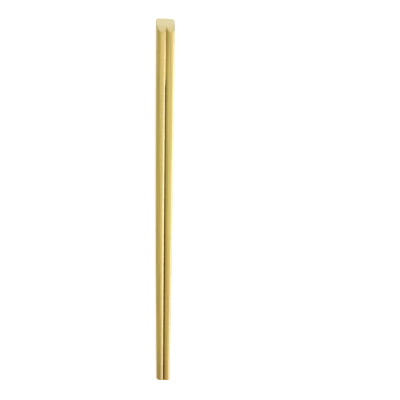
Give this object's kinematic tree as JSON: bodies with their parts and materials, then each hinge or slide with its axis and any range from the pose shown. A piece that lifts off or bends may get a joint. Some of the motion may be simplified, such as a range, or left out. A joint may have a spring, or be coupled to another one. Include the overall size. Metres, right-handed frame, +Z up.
{
  "type": "joined pair of disposable bamboo chopsticks",
  "caption": "Unsplit bamboo chopsticks: rounded, tapering sticks joined by a bridge at the slant-cut grip end and parted by a slit down to the tips, to be snapped apart and eaten with.",
  "frame": {"origin": "middle of the pair's footprint, on the surface that it lies on", "axes": "+X from the tips to the slant-cut grip end, +Y across the pair, +Z up out of the surface that it lies on"},
  "size_m": [0.21, 0.0114, 0.0046],
  "materials": {
    "bamboo": "planed and tumbled bamboo with a satin sheen, sawn pale at the grip end"
  },
  "bodies": {
    "root": {"chopstick_pair": "bamboo"}
  },
  "joints": []
}
